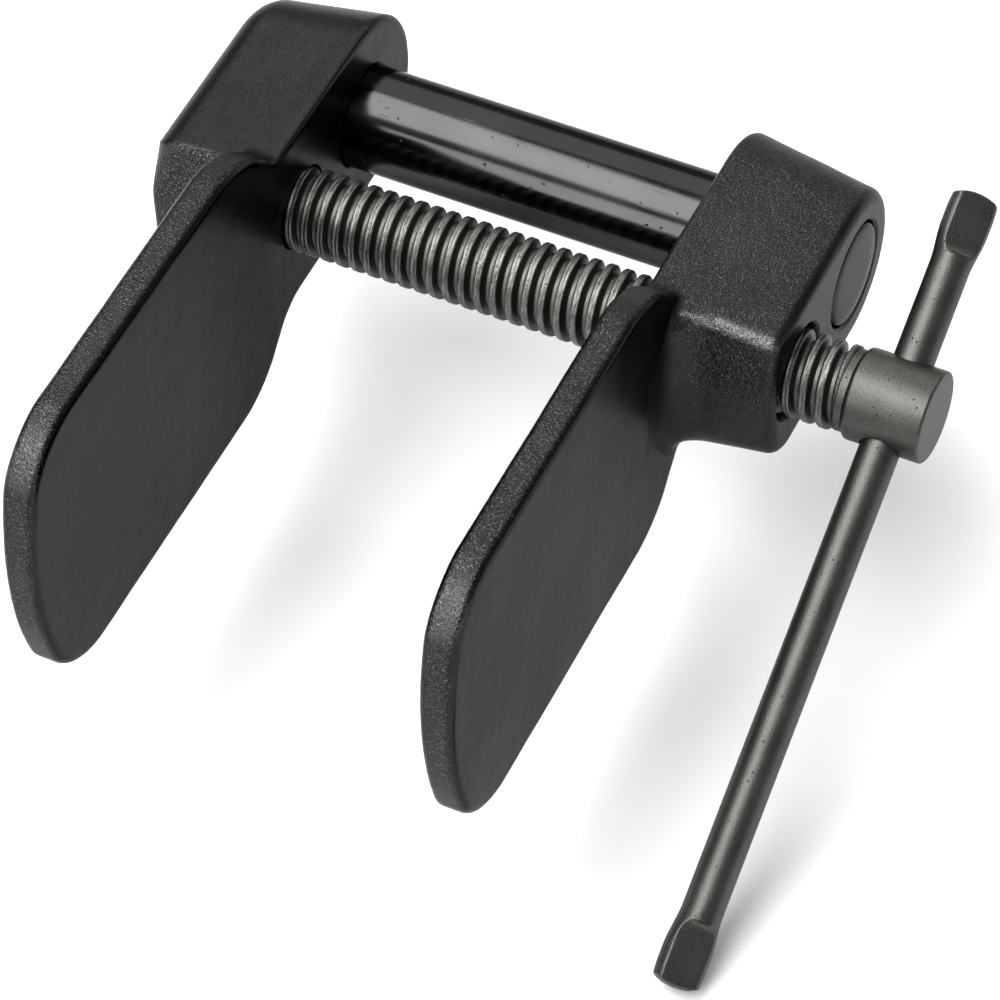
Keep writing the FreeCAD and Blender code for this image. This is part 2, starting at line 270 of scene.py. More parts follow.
# Name, direction from the object, distance, width, height, light leaving each square metre
SOFTBOXES = [
    ("top_softbox", (-0.30, -0.23, 0.92), 1.3, 1.8, 0.72, 8.4),
    ("front_softbox", (-0.36, -0.84, 0.40), 1.3, 0.5, 0.60, 6.5),
    ("back_panel", (-0.10, 0.70, 0.66), 1.6, 2.2, 1.25, 1.5),
]


# ---------------------------------------------------------------- meshes

def mesh_object(name, points, faces):
    """A mesh object from points in millimetres."""
    mesh = bpy.data.meshes.new(name)
    points = np.asarray(points, dtype=float) * MM
    if isinstance(faces, np.ndarray):
        faces = faces.tolist()
    mesh.from_pydata(points.tolist(), [], faces)
    mesh.update()
    obj = bpy.data.objects.new(name, mesh)
    bpy.context.scene.collection.objects.link(obj)
    return obj


def combine(target, others, operation):
    """Boolean of a target with other closed meshes, which are then removed."""
    for other in others:
        step = target.modifiers.new(operation.lower(), "BOOLEAN")
        step.operation = operation
        step.solver = "MANIFOLD"
        step.object = other
    graph = bpy.context.evaluated_depsgraph_get()
    result = bpy.data.meshes.new_from_object(target.evaluated_get(graph))
    target.modifiers.clear()
    target.data = result
    result.name = target.name
    for other in others:
        bpy.data.objects.remove(other)
    return target


def smooth(obj, angle):
    """Smooth shading, with sharp edges where faces meet at more than an angle in degrees."""
    obj.data.shade_smooth()
    obj.data.set_sharp_from_angle(angle=math.radians(angle))


def arrays(mesh):
    """Points and point normals of a mesh."""
    points = np.empty(len(mesh.vertices) * 3)
    normals = np.empty(len(mesh.vertices) * 3)
    mesh.vertices.foreach_get("co", points)
    mesh.vertex_normals.foreach_get("vector", normals)
    return points.reshape(-1, 3), normals.reshape(-1, 3)


def set_attribute(mesh, name, values):
    """A number for each point, which a material can read."""
    layer = mesh.attributes.new(name, "FLOAT", "POINT")
    layer.data.foreach_set("value", np.asarray(values, dtype=np.float32))


def lathe(name, profile, y, segments=128):
    """A solid turned about the X direction at height z = 0. The profile is (x, radius) pairs."""
    angles = np.linspace(0, 2 * math.pi, segments, endpoint=False)
    points = []
    faces = []
    for x, radius in profile:
        for angle in angles:
            points.append((x, y + radius * math.cos(angle), radius * math.sin(angle)))
    for row in range(len(profile) - 1):
        for i in range(segments):
            j = (i + 1) % segments
            a, b = row * segments, (row + 1) * segments
            faces.append((a + i, a + j, b + j, b + i))
    last = (len(profile) - 1) * segments
    faces.append(tuple(range(segments - 1, -1, -1)))
    faces.append(tuple(range(last, last + segments)))
    return mesh_object(name, points, faces)


def round_corner(x, radius, r, x_side, steps=5):
    """Profile points of a rounded outer corner at (x, radius); x_side is +1 for a right end."""
    points = []
    for i in range(steps + 1):
        angle = math.pi / 2 * i / steps
        points.append((x - x_side * r * (1 - math.sin(angle)), radius - r * (1 - math.cos(angle))))
    return points if x_side > 0 else points[::-1]


# ---------------------------------------------------------------- jaw castings

def rounded(a, b, r):
    """Intersection of two solids given as distances, its edge rounded."""
    return np.minimum(np.maximum(a, b), -r) + np.hypot(np.maximum(a + r, 0), np.maximum(b + r, 0))


def blended(a, b, r):
    """Union of two solids given as distances, with a hollow fillet."""
    return np.maximum(np.minimum(a, b), r) - np.hypot(np.maximum(r - a, 0), np.maximum(r - b, 0))


def ramp(value, start, end):
    """0 at start, 1 at end, with soft turns."""
    t = np.clip((value - start) / (end - start), 0, 1)
    return t * t * (3 - 2 * t)


def boss_sides(u, y, z, node):
    """Distances in front of the boss's crowned front, and above its top or below its bottom."""
    share = u / BOSS_DEPTH
    half = BOSS_INNER_HALF + (BOSS_OUTER_HALF[node] - BOSS_INNER_HALF) * share
    front = FRONT_INNER + (FRONT_OUTER - FRONT_INNER) * share
    rise = np.maximum(z, 0) / half
    lean = np.hypot(1, 2 * FRONT_CROWN * rise / half)
    return (FRONT_CROWN * rise ** 2 - front - y) / lean, np.abs(z) - half, half


def boss_distance(u, y, z, node):
    """The boss: flat top and bottom, crowned front, round back about the guide bar."""
    ahead, above, half = boss_sides(u, y, z, node)
    body = rounded(above, ahead, np.where(z > 0, TOP_CORNER[node], LOW_CORNER))
    back = np.hypot(y - SCREW_TO_BAR, z) - half
    low_round, high_round = BOSS_ROUND[node]
    outer_round = low_round + (high_round - low_round) * ramp(z, *OUTER_ROUND_HEIGHTS)
    return rounded(np.where(y > SCREW_TO_BAR, back, body), u - BOSS_DEPTH, outer_round)


def root_round(z):
    """Radius of the hollow corner between blade and boss at a height."""
    low, high = ROOT_ROUND
    return low + (high - low) * ramp(z, *ROOT_HEIGHTS)


def web_distance(u, y, z, node):
    """The hollow web between the blade's outer face and the boss's front."""
    ahead, above, _ = boss_sides(u, y, z, node)
    hollow = blended(ahead, u - BLADE_THICK + root_round(z), WEB_RADIUS + 0.5)
    reach = np.clip(ahead, 0, WEB_RADIUS)
    corner = np.where(z > 0, TOP_CORNER[node] + reach, LOW_CORNER + reach / 2)
    body = rounded(above + WEB_INSET, hollow, corner)
    for limit in (ahead - WEB_RADIUS - 1, y, u - BLADE_THICK - WEB_RADIUS - 1):
        body = np.maximum(body, limit)
    return body


def blade_distance(u, y, z):
    """The blade, which flares out in front of the boss and ends in a curved nose."""
    height = np.abs(z)
    slope = math.atan2(BLADE_HALF - FOOT_HALF, FLARE_RUN)
    flare = (y + FLARE_START) * math.sin(slope) + (height - FOOT_HALF) * math.cos(slope)
    nose = np.hypot(y - NOSE_RADIUS + BLADE_REACH, z) - NOSE_RADIUS
    outline = rounded(rounded(height - BLADE_HALF, flare, FLARE_ROUND), nose, NOSE_CORNER)
    return rounded(outline, u - BLADE_THICK, EDGE_ROUND)


def unevenness(u, y, z, seed):
    """Gentle waviness of a cast skin, in millimetres."""
    rng = np.random.default_rng(seed)
    total = 0.0
    for wavelength, height in WAVES:
        for _ in range(3):
            direction = rng.normal(size=3)
            direction /= np.linalg.norm(direction)
            phase = rng.uniform(0, 2 * math.pi)
            along = u * direction[0] + y * direction[1] + z * direction[2]
            total = total + height * np.sin(2 * math.pi * along / wavelength + phase)
    return total


def casting_distance(u, y, z, node):
    """The whole raw casting with its uneven skin. The boss's outer face stays flat."""
    body = np.minimum(boss_distance(u, y, z, node), web_distance(u, y, z, node))
    body = blended(body, blade_distance(u, y, z), root_round(z))
    waves = unevenness(u, y, z, seed=len(node))
    return rounded(body, -u, EDGE_ROUND) + waves * ramp(BOSS_DEPTH - u, 0.4, 4.0)


def surface_net(distance, low, high, step):
    """Quads around the zero level of a distance function."""
    axes = [np.arange(a, b + step, step) for a, b in zip(low, high)]
    value = distance(*np.meshgrid(*axes, indexing="ij"))
    inside = value < 0
    cells = tuple(n - 1 for n in value.shape)
    total = np.zeros(cells + (3,))
    count = np.zeros(cells)
    for axis in range(3):
        for corner in itertools.product((0, 1), repeat=3):
            if corner[axis]:
                continue
            other = list(corner)
            other[axis] = 1
            a = value[tuple(slice(c, c + n) for c, n in zip(corner, cells))]
            b = value[tuple(slice(c, c + n) for c, n in zip(other, cells))]
            cross = (a < 0) != (b < 0)
            share = a / np.where(cross, a - b, 1)
            for k in range(3):
                place = share if k == axis else corner[k]
                total[..., k] += np.where(cross, place, 0)
            count += cross
    active = count > 0
    index = np.full(cells, -1)
    index[active] = np.arange(active.sum())
    points = (np.argwhere(active) + total[active] / count[active][:, None]) * step + np.array(low)
    quads = []
    for axis in range(3):
        one, two = (axis + 1) % 3, (axis + 2) % 3
        start = inside[tuple(slice(0, -1) if k == axis else slice(None) for k in range(3))]
        stop = inside[tuple(slice(1, None) if k == axis else slice(None) for k in range(3))]
        places = np.argwhere(start != stop)
        quad = []
        for back_one, back_two in ((1, 1), (0, 1), (0, 0), (1, 0)):
            cell = places.copy()
            cell[:, one] -= back_one
            cell[:, two] -= back_two
            quad.append(index[tuple(cell.T)])
        quad = np.stack(quad, 1)
        flip = ~start[tuple(places.T)]
        quad[flip] = quad[flip][:, ::-1]
        quads.append(quad)
    return points, np.concatenate(quads)


def slope_of(distance, points, h):
    """Value, gradient and summed curvature of a distance function at points."""
    value = distance(*points.T)
    slope = np.empty_like(points)
    curve = -6 * value
    for axis in range(3):
        offset = np.zeros(3)
        offset[axis] = h
        ahead = distance(*(points + offset).T)
        behind = distance(*(points - offset).T)
        slope[:, axis] = (ahead - behind) / (2 * h)
        curve = curve + ahead + behind
    return value, slope, curve / (h * h)


def casting(node):
    """One raw casting as an object in its place, with its bores still to be cut."""
    def distance(u, y, z):
        return casting_distance(u, y, z, node)
    margin = NET_MARGIN
    low = (-margin, -BLADE_REACH - margin, -BLADE_HALF - margin)
    high = (BOSS_DEPTH + margin, SCREW_TO_BAR + BOSS_INNER_HALF + margin, BLADE_HALF + margin)
    points, quads = surface_net(distance, low, high, NET_STEP)
    for _ in range(3):
        value, slope, _ = slope_of(distance, points, SLOPE_STEP)
        points -= slope * (value / (slope ** 2).sum(1))[:, None]
    if node == "fixed_jaw":
        points[:, 0] = FIXED_HIGH[0] - points[:, 0]
        quads = quads[:, ::-1]
    else:
        points[:, 0] += SLIDING_LOW[0]
    points[:, 1] += SCREW_Y
    return mesh_object(node + "_skin", points, quads)


def hole(x_start, x_end, radius, y, start_chamfer=0.0, end_chamfer=0.0):
    """A cutter for a round hole that runs out of the metal at both ends, with chamfered mouths."""
    profile = []
    if start_chamfer:
        profile.append((x_start - OVERRUN, radius + start_chamfer + OVERRUN))
        profile.append((x_start + start_chamfer, radius))
    else:
        profile.append((x_start - OVERRUN, radius))
    if end_chamfer:
        profile.append((x_end - end_chamfer, radius))
        profile.append((x_end + OVERRUN, radius + end_chamfer + OVERRUN))
    else:
        profile.append((x_end + OVERRUN, radius))
    return lathe("cutter", profile, y)


def jaw_places(points, node):
    """Mesh points in metres as the casting's own u, y, z in millimetres."""
    local = points / MM
    if node == "fixed_jaw":
        local[:, 0] = FIXED_HIGH[0] - local[:, 0]
    else:
        local[:, 0] -= SLIDING_LOW[0]
    local[:, 1] -= SCREW_Y
    return local


def mark_skin(mesh, local, normals, curve, node):
    """Amounts of painted edge shade, dents, painted highlight, grain, and painted light and shade
    on the wide faces at each point of the skin.
    """
    on_boss = ramp(local[:, 1], -FRONT_INNER - 2, -FRONT_INNER)
    upper = ramp(local[:, 2], *COARSE_HEIGHTS)
    facing_up = ramp(normals[:, 2], 0.3, 0.8)
    facing_aside = ramp(np.abs(normals[:, 0]), 0.7, 0.95)
    not_aside = ramp(1 - np.abs(normals[:, 0]), 0.15, 0.75)
    front = ramp(-normals[:, 1], 0.4, 0.9) * on_boss
    towards_edge = ramp(-normals[:, 1], 0.30, 0.55) * ramp(normals[:, 2], 0.35, 0.60)
    amount = 1 - TOP_SMOOTHNESS[node] * facing_up * on_boss
    amount += front * (FRONT_ROUGHNESS[node] * upper - LOW_FRONT_SMOOTHNESS * (1 - upper))
    # Edges facing the top light get paler paint: a painted highlight
    wear_and_highlight = EDGE_HIGHLIGHT[node] * on_boss * ramp(curve, *HIGHLIGHT_BEND) + NOSE_HIGHLIGHT * (1 - on_boss)
    # Convex edges, and hollows through negative values, get darker paint as painted shade
    set_attribute(mesh, "edge", np.clip(curve * EDGE_GAIN, -1, 1 - on_boss))
    set_attribute(mesh, "dents", front * upper + towards_edge * (1 - on_boss))
    set_attribute(mesh, "painted_highlight", towards_edge * wear_and_highlight)
    set_attribute(mesh, "grain", not_aside * amount)
    # Wide faces grow paler towards the noses: painted light
    set_attribute(mesh, "painted_light", facing_aside * ramp(-local[:, 1], *PAINTED_LIGHT_RUN))
    # Wide faces darken next to the boss: painted shade
    set_attribute(mesh, "painted_shade_by_boss", facing_aside * (1 - on_boss) * (1 - ramp(-local[:, 1], *PAINTED_SHADE_RUN)))


def mark_jaw(obj, node):
    """Gives machined faces their own material slot, and the skin its amounts of grain, painted
    highlight and painted shade.
    """
    mesh = obj.data
    points, normals = arrays(mesh)
    local = jaw_places(points, node)
    value, _, curve = slope_of(lambda u, y, z: casting_distance(u, y, z, node), local, CURVE_STEP)
    mark_skin(mesh, local, normals, curve, node)
    machined = value < -MACHINED_DEPTH
    wholly = np.array([all(machined[i] for i in face.vertices) for face in mesh.polygons])
    mesh.polygons.foreach_set("material_index", wholly.astype(np.int32))


def make_fixed_jaw():
    """The far jaw: a bore for the bar, and one for the journal with a seat at each end."""
    inner, outer = FIXED_HIGH[0], FIXED_LOW[0]
    jaw = casting("fixed_jaw")
    pocket = [(inner - POCKET_DEPTH, POCKET_DIA / 2), (inner + OVERRUN, POCKET_DIA / 2)]
    rear = [(outer - OVERRUN, REAR_DIA / 2 + MOUTH + OVERRUN), (outer + MOUTH, REAR_DIA / 2),
            (outer + REAR_DEPTH, REAR_DIA / 2)]
    cutters = [
        hole(outer, inner, BAR_DIA / 2 + PRESS_GAP, BAR_Y, MOUTH, MOUTH),
        hole(outer, inner, JOURNAL_DIA / 2 + JOURNAL_GAP, SCREW_Y),
        lathe("cutter", pocket, SCREW_Y),
        lathe("cutter", rear, SCREW_Y),
    ]
    return finish_jaw(jaw, cutters, "fixed_jaw")


def make_sliding_jaw():
    """The near jaw: a sliding bore for the bar and a tapped one for the screw."""
    inner, outer = SLIDING_LOW[0], SLIDING_HIGH[0]
    jaw = casting("sliding_jaw")
    turns_before = round((inner - FIRST_CREST) / PITCH) - 1
    tap_start = FIRST_CREST + turns_before * PITCH - 2 * PITCH
    recess = [(outer + offset, radius) for offset, radius in TAP_RECESS]
    cutters = [
        hole(inner, outer, BAR_DIA / 2 + BAR_GAP, BAR_Y, MOUTH, MOUTH),
        hole(inner, outer, THREAD_DIA / 2 - THREAD_DEPTH + THREAD_GAP, SCREW_Y, TAP_MOUTH),
        lathe("cutter", recess, SCREW_Y),
        threaded_rod("cutter", tap_start, TAP_TURNS, THREAD_GAP),
    ]
    return finish_jaw(jaw, cutters, "sliding_jaw")


def finish_jaw(jaw, cutters, node):
    """Cuts a casting's bores and marks its surfaces."""
    combine(jaw, cutters, "DIFFERENCE")
    mark_jaw(jaw, node)
    smooth(jaw, JAW_SHARP)
    jaw.name = node + "_casting"
    return jaw


# ---------------------------------------------------------------- screw

def thread_row(offset, height, extra):
    """A profile point of the thread, grown by extra for a cutter."""
    if not extra:
        return offset, height
    limit = PITCH / 2 - THREAD_CLEARANCE
    moved = max(-limit, min(limit, offset + math.copysign(extra, offset)))
    return (moved if offset > -PITCH / 2 else offset), (height + extra if height > 1 else height)


def thread_points(rows, start, turns):
    """Points of each step round the thread, then a ring of the core beyond each end."""
    root = THREAD_DIA / 2 - THREAD_DEPTH
    seg = SCREW_SEGMENTS
    steps = np.arange(turns * seg + 1)
    progress = steps / seg
    amount = ramp(progress, 0, THREAD_FADE) * ramp(turns - progress, 0, THREAD_FADE)
    angle = 2 * math.pi * progress
    points = np.empty((len(steps), len(rows), 3))
    for j, (offset, height) in enumerate(rows):
        radius = root + height * amount
        points[:, j, 0] = start + offset + PITCH * progress
        points[:, j, 1] = SCREW_Y + radius * np.sin(angle)
        points[:, j, 2] = -radius * np.cos(angle)
    points = points.reshape(-1, 3)
    around = 2 * math.pi * np.arange(seg) / seg
    for x in (start - PITCH, start + PITCH * (turns + 1)):
        ring = [np.full(seg, x), SCREW_Y + root * np.sin(around), -root * np.cos(around)]
        points = np.concatenate([points, np.stack(ring, 1)])
    return points


def thread_faces(width, end):
    """Faces over the thread, whose last step is end, and from its ends to the core's rings."""
    seg = SCREW_SEGMENTS
    low = (end + 1) * width
    high = low + seg

    def at(step, j):
        return int(step) * width + j

    faces = []
    for step in range(end):
        for j in range(width - 1):
            faces.append((at(step, j), at(step + 1, j), at(step + 1, j + 1), at(step, j + 1)))
        if step + 1 + seg <= end:
            a, b = at(step, width - 1), at(step + 1, width - 1)
            faces.append((a, b, at(step + 1 + seg, 0), at(step + seg, 0)))
    for i in range(seg - 1):
        faces.append((low + i, low + i + 1, at(i + 1, 0), at(i, 0)))
    first_row = [at(0, j) for j in range(width)]
    faces.append([low + seg - 1, low] + first_row + [at(seg, 0), at(seg - 1, 0)])
    first = end - seg
    for i in range(1, seg):
        a, b = at(first + i, width - 1), at(first + i + 1, width - 1)
        faces.append((a, b, high + (i + 1) % seg, high + i))
    a, b = at(first, width - 1), at(first + 1, width - 1)
    faces.append([a, b, high + 1, high] + [at(end, j) for j in range(width - 1, -1, -1)])
    faces.append(list(range(low + seg - 1, low - 1, -1)))
    faces.append(list(range(high, high + seg)))
    return faces


def threaded_rod(name, start, turns, extra=0.0):
    """A right-hand thread on its core, closed at both ends. A crest is lowest at start."""
    rows = [thread_row(offset, height, extra) for offset, height in THREAD_PROFILE]
    faces = thread_faces(len(rows), turns * SCREW_SEGMENTS)
    return mesh_object(name, thread_points(rows, start, turns), faces)


def make_screw():
    """Journal with its ring groove, thread, collar and cross-drilled head in one piece."""
    root = THREAD_DIA / 2 - THREAD_DEPTH
    head = HEAD_DIA / 2
    collar = COLLAR_DIA / 2
    neck = collar - COLLAR_NECK
    journal = JOURNAL_DIA / 2
    profile = [(JOURNAL_START, CAP_RING)]
    profile += round_corner(JOURNAL_START, journal, JOURNAL_ROUND, -1)
    profile += [(RING_START - RING_PLAY, journal), (RING_START - RING_PLAY, RING_SEAT),
                (RING_START + RING_WIDTH, RING_SEAT), (RING_START + RING_WIDTH, journal)]
    profile += [(SHOULDER, journal), (SHOULDER, root), (THREAD_END, root)]
    profile += round_corner(THREAD_END, collar, COLLAR_ROUND, -1)
    profile += [(HEAD_START - NECK_START, collar), (HEAD_START - NECK_FLOOR, neck)]
    profile.append((HEAD_START, neck))
    profile += round_corner(HEAD_START, head, HEAD_ROUND[0], -1, HEAD_STEPS)
    profile += round_corner(HEAD_END, head, HEAD_ROUND[1], 1, HEAD_STEPS)
    profile += [(HEAD_END, head - CAP_INSET), (HEAD_END, CAP_RING)]
    screw = lathe("screw_core", profile, SCREW_Y)
    thread = threaded_rod("cutter", FIRST_CREST, TURNS + 2)
    keep = lathe("cutter", [(SHOULDER, head), (THREAD_END + THREAD_OVERLAP, head)], SCREW_Y)
    combine(thread, [keep], "INTERSECT")
    combine(screw, [thread], "UNION")
    combine(screw, [cross_hole()], "DIFFERENCE")
    screw.name = "feed_screw_body"
    smooth(screw, SCREW_SHARP)
    mark_screw(screw)
    return screw


def mark_screw(obj):
    """How far each point of the thread stands up from the root, for its worn crests and the painted
    light in its grooves.
    """
    points, _ = arrays(obj.data)
    local = points / MM
    radius = np.hypot(local[:, 1] - SCREW_Y, local[:, 2])
    on_thread = (local[:, 0] > SHOULDER) & (local[:, 0] < THREAD_END)
    height = np.clip((radius - THREAD_DIA / 2 + THREAD_DEPTH) / THREAD_DEPTH, 0, 1)
    set_attribute(obj.data, "crest", np.where(on_thread, height, 1.0))
    set_attribute(obj.data, "thread", on_thread)


# ---------------------------------------------------------------- bars

def tommy_frame():
    """Middle and direction of the cross hole, and the turn that lays a piece made along Z in it."""
    centre = Vector(((HEAD_START + HEAD_END) / 2, SCREW_Y, 0)) * MM
    along = Vector((0, -math.cos(TOMMY_TILT), -math.sin(TOMMY_TILT)))
    turn = Matrix.Rotation(math.pi / 2 + TOMMY_TILT, 4, "X") @ Matrix.Rotation(-SWAGE_TURN, 4, "Z")
    return centre, along, turn


def cross_hole():
    """A cutter for the hole through the screw's head."""
    centre, _, turn = tommy_frame()
    cutter = lathe("cutter", [(-HEAD_DIA, TOMMY_HOLE / 2), (HEAD_DIA, TOMMY_HOLE / 2)], 0.0)
    upright = Matrix.Rotation(-math.pi / 2, 4, "Y")
    cutter.data.transform(Matrix.Translation(centre) @ turn @ upright)
    return cutter


def cap_end(points, faces, base, end, sign):
    """Closes an end of the tommy bar, whose last ring starts at point base, with a bulging cap."""
    seg = TOMMY_SEGMENTS
    ring = np.array(points[base:base + seg])
    centre = ring.mean(0)
    previous = base
    for share in END_RINGS:
        start = len(points)
        inner = centre + (ring - centre) * share
        inner[:, 2] = end - sign * END_BULGE * (inner[:, 0] / (SWAGE_WIDTH / 2)) ** 2
        points.extend(inner)
        for i in range(seg):
            j = (i + 1) % seg
            quad = (previous + i, previous + j, start + j, start + i)
            faces.append(quad if sign > 0 else quad[::-1])
        previous = start
    cap = list(range(previous, previous + seg))
    faces.append(cap if sign > 0 else cap[::-1])


def make_tommy():
    """Round bar with both ends pressed flat between dies."""
    half = TOMMY_LENGTH / 2
    inside = half - SWAGE_LENGTH
    middle_rows = np.linspace(-inside, inside, SHANK_ROWS)
    end_rows = inside + SWAGE_LENGTH * np.linspace(0, 1, SWAGE_ROWS + 1)[1:]
    rows = np.concatenate([-end_rows[::-1], middle_rows, end_rows])
    angle = 2 * math.pi * (np.arange(TOMMY_SEGMENTS) + 0.5) / TOMMY_SEGMENTS
    points = []
    for s in rows:
        points.append(tommy_section(s, angle, half, inside))
    count = len(rows)
    seg = TOMMY_SEGMENTS
    faces = []
    for row in range(count - 1):
        for i in range(seg):
            j = (i + 1) % seg
            faces.append((row * seg + i, row * seg + j, (row + 1) * seg + j, (row + 1) * seg + i))
    points = list(np.concatenate(points))
    cap_end(points, faces, 0, rows[0], -1)
    cap_end(points, faces, (count - 1) * seg, rows[-1], 1)
    bar = mesh_object("tommy_bar_rod", points, faces)
    centre, along, turn = tommy_frame()
    bar.data.transform(Matrix.Translation(centre + along * TOMMY_SHIFT * MM) @ turn)
    smooth(bar, TOMMY_SHARP)
    return bar


def tommy_section(s, angle, half, inside):
    """Section of the tommy bar at distance s from its middle."""
    radius = TOMMY_DIA / 2
    share = max(0.0, (abs(s) - inside) / SWAGE_LENGTH)
    width = radius + (SWAGE_WIDTH / 2 - radius) * float(ramp(share, *SWAGE_WIDENS))
    width -= SWAGE_NARROWING * float(ramp(share, *SWAGE_NARROWS))
    press = float(np.clip((share - PRESS_START) / PRESS_RUN, 0, 1))
    flat = radius - (radius - SWAGE_THICK / 2) * math.sqrt(1 - (1 - press) ** 2)
    to_end = half - abs(s)
    shrink = 0.0
    if to_end < END_CORNER:
        shrink = END_CORNER - math.sqrt(END_CORNER ** 2 - (END_CORNER - to_end) ** 2)
    x = np.cos(angle) * width
    y = np.sin(angle) * (radius - SWAGE_THINNING * float(ramp(share, *SWAGE_THINS)))
    if share > 0:
        gap = np.abs(y) - flat
        pressed = flat + gap / 2 - np.sqrt((gap / 2) ** 2 + SWAGE_SOFT ** 2 / 4)
        y = np.sign(y) * pressed
    size = np.maximum(np.hypot(x, y), 1e-6)
    keep = np.maximum(size - shrink, 0.1) / size
    bulge = END_BULGE * (x / (SWAGE_WIDTH / 2)) ** 2 * float(ramp(share, *SWAGE_BULGES))
    z = s - math.copysign(1, s) * bulge
    return np.stack([x * keep, y * keep, z + 0 * x], 1)


def make_guide_bar():
    """Round bar with rounded ends."""
    radius = BAR_DIA / 2
    start, end = BAR_LOW[0], BAR_HIGH[0]
    profile = [(start, CAP_RING), (start, radius - CAP_INSET)]
    profile += round_corner(start, radius, BAR_ROUND[0], -1)
    for x in np.linspace(start + BAR_MARGIN, end - BAR_MARGIN, BAR_ROWS):
        profile.append((x, radius))
    profile += round_corner(end, radius, BAR_ROUND[1], 1)
    profile += [(end, radius - CAP_INSET), (end, CAP_RING)]
    bar = lathe("guide_bar_rod", profile, BAR_Y, BAR_SEGMENTS)
    smooth(bar, BAR_SHARP)
    return bar


# ---------------------------------------------------------------- materials

class Finish:
    """A material whose nodes are added one call at a time. Noise scales are features per metre."""

    def __init__(self, name):
        self.material = bpy.data.materials.new(name)
        self.material.use_nodes = True
        self.tree = self.material.node_tree
        self.tree.nodes.clear()
        self.shader = self.add("ShaderNodeBsdfPrincipled")
        output = self.add("ShaderNodeOutputMaterial")
        self.tree.links.new(self.shader.outputs[0], output.inputs["Surface"])
        self.place = self.add("ShaderNodeTexCoord").outputs["Object"]

    def add(self, kind, inputs=None, **settings):
        """A node with its settings and its inputs' values or links."""
        node = self.tree.nodes.new(kind)
        for key, value in settings.items():
            setattr(node, key, value)
        for key, value in (inputs or {}).items():
            self.put(node.inputs[key], value)
        return node

    def put(self, socket, value):
        if isinstance(value, bpy.types.NodeSocket):
            self.tree.links.new(value, socket)
        else:
            socket.default_value = value

    def set(self, **values):
        """Values or links for the shader's own sockets."""
        for key, value in values.items():
            self.put(self.shader.inputs[key.replace("_", " ")], value)

    def noise(self, scale, detail, place=None):
        """Soft random values around a half."""
        inputs = {"Vector": place or self.place, "Scale": scale, "Detail": detail}
        return self.add("ShaderNodeTexNoise", inputs).outputs["Fac"]

    def spots(self, scale, core, rim, bare_share):
        """Round spots, 1 in their cores and 0 past their rims, missing in a share of the cells."""
        cells = self.add("ShaderNodeTexVoronoi", {"Vector": self.place, "Scale": scale})
        spot = self.span(cells.outputs["Distance"], core, rim, 1.0, 0.0)
        pick = self.add("ShaderNodeSeparateColor", {"Color": cells.outputs["Color"]}).outputs[0]
        return self.math("MULTIPLY", spot, self.math("GREATER_THAN", pick, bare_share))

    def stretched(self, x, y, z, turn=(0, 0, 0)):
        """Object place squeezed along each axis, for streaks."""
        inputs = {"Vector": self.place, "Scale": (x, y, z), "Rotation": turn}
        return self.add("ShaderNodeMapping", inputs).outputs["Vector"]

    def math(self, operation, a, b, c=0.0):
        return self.add("ShaderNodeMath", {0: a, 1: b, 2: c}, operation=operation).outputs[0]

    def scaled_add(self, value, factor, plus):
        """value * factor + plus"""
        return self.math("MULTIPLY_ADD", value, factor, plus)

    def span(self, value, low, high, to_low=0.0, to_high=1.0):
        """The value's range from low to high, stretched over another range and clamped to it."""
        inputs = {"Value": value, "From Min": low, "From Max": high}
        inputs.update({"To Min": to_low, "To Max": to_high})
        return self.add("ShaderNodeMapRange", inputs).outputs["Result"]

    def mix(self, amount, a, b):
        node = self.add("ShaderNodeMix", data_type="RGBA")
        self.put(node.inputs["Factor"], amount)
        self.put(node.inputs["A"], a)
        self.put(node.inputs["B"], b)
        return node.outputs["Result"]

    def attribute(self, name):
        return self.add("ShaderNodeAttribute", attribute_name=name).outputs["Fac"]

    def bump(self, height, distance, normal=None, strength=1.0):
        inputs = {"Height": height, "Distance": distance, "Strength": strength}
        if normal is not None:
            inputs["Normal"] = normal
        return self.add("ShaderNodeBump", inputs).outputs["Normal"]


def grey(value, tint=(1.0, 1.0, 1.0)):
    """A colour from a tone, slightly tinted."""
    return (value * tint[0], value * tint[1], value * tint[2], 1.0)


def cast_height(f, fine, grain):
    """Height of the blasted grain, with hammered dents where the skin is marked for them."""
    relief = f.scaled_add(f.noise(1900.0, 2.0), 0.5, f.math("MULTIPLY", fine, 0.5))
    height = f.math("MULTIPLY", relief, f.scaled_add(grain, 0.94, 0.06))
    dents = f.math("MULTIPLY", f.noise(1250.0, 1.0), f.attribute("dents"))
    return f.scaled_add(dents, 0.9, height)


